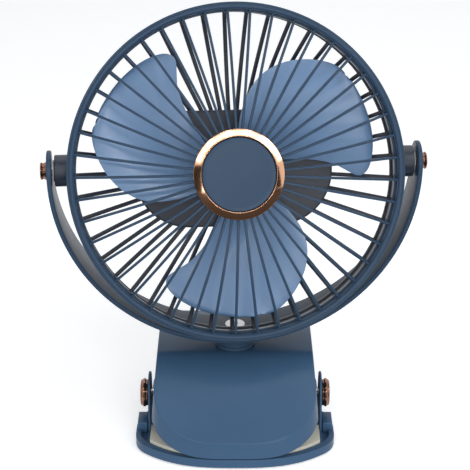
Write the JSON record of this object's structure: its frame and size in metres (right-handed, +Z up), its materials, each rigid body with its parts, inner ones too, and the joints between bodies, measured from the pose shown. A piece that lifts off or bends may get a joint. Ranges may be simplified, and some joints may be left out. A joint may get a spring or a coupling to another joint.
{
  "type": "clip fan",
  "caption": "small battery clip fan: a round caged head tilts in a half-hoop yoke that swivels on a spring clip with a flat foot",
  "frame": {"origin": "on the table under the swivel axis, in the plane of the foot pad", "axes": "+Z up, the front of the fan faces -Y, +X to the right of someone who looks at its front"},
  "size_m": [0.2156, 0.1076, 0.2539],
  "materials": {
    "clip_plastic": "satin slate-blue moulded plastic",
    "cage_plastic": "satin dark slate-blue moulded plastic",
    "rear_plastic": "darker slate-blue moulded plastic",
    "blade_plastic": "semi-gloss light slate-blue moulded plastic",
    "rose_gold": "polished rose-gold plating",
    "steel": "zinc-plated steel",
    "spring_steel": "dark spring steel wire",
    "pad_rubber": "pale grey-beige soft rubber",
    "foot_rubber": "dark anti-slip rubber",
    "nylon": "white nylon",
    "board": "green circuit board with solder mask",
    "cell_wrap": "shrink-wrapped cylindrical cell",
    "lamp_clear": "translucent lamp window"
  },
  "bodies": {
    "lower_jaw": {"lower_jaw": "clip_plastic", "base_pad": "foot_rubber", "lower_jaw_pad": "pad_rubber", "hinge_pin": "steel", "hinge_cap_left": "rose_gold", "hinge_cap_right": "rose_gold", "torsion_spring_left": "spring_steel", "torsion_spring_right": "spring_steel"},
    "upper_jaw": {"upper_jaw": "clip_plastic", "upper_jaw_pad": "pad_rubber"},
    "yoke": {"yoke": "cage_plastic", "swivel_collar": "cage_plastic", "swivel_bolt": "steel", "swivel_washer": "steel", "swivel_nut": "steel", "tilt_washer_left": "nylon", "tilt_washer_right": "nylon"},
    "head": {"front_grille": "cage_plastic", "hub_trim_ring": "rose_gold", "hub_cap": "cage_plastic", "rear_grille": "rear_plastic", "rear_cover": "cage_plastic", "led_window": "lamp_clear", "usb_socket": "steel", "circuit_board": "board", "battery_cell": "cell_wrap", "motor_can": "steel", "cover_screw_1": "steel", "cover_screw_2": "steel", "cover_screw_3": "steel", "cover_screw_4": "steel", "tilt_screw_left": "steel", "tilt_screw_right": "steel", "tilt_cap_left": "rose_gold", "tilt_cap_right": "rose_gold"},
    "impeller": {"impeller": "blade_plastic", "motor_shaft": "steel", "impeller_nut": "steel"},
    "button": {"power_button": "rear_plastic"}
  },
  "joints": [
    {"name": "jaw_open", "type": "hinge", "parent": "lower_jaw", "child": "upper_jaw", "pos_m": [0, -0.006, 0.022], "axis": [-1, 0, 0], "range_deg": [0, 32], "stiffness_Nm_per_rad": 1.2, "springref_deg": -45.84, "deforming": ["torsion_spring_left", "torsion_spring_right"]},
    {"name": "yoke_swivel", "type": "hinge", "parent": "upper_jaw", "child": "yoke", "pos_m": [0, 0, 0.052], "axis": [0, 0, 1], "continuous": true},
    {"name": "head_tilt", "type": "hinge", "parent": "yoke", "child": "head", "pos_m": [0, 0, 0.164], "axis": [-0.9969, -0.0785, 0], "range_deg": [-108.5, 71.5]},
    {"name": "impeller_spin", "type": "hinge", "parent": "head", "child": "impeller", "pos_m": [0.00008, -0.00108, 0.16078], "axis": [0.0744, -0.9454, 0.3173], "continuous": true},
    {"name": "power_button_press", "type": "slide", "parent": "head", "child": "button", "axis": [0.0744, -0.9454, 0.3173], "range_m": [0, 0.0008], "stiffness_N_per_m": 900, "springref_m": -0.0012}
  ]
}
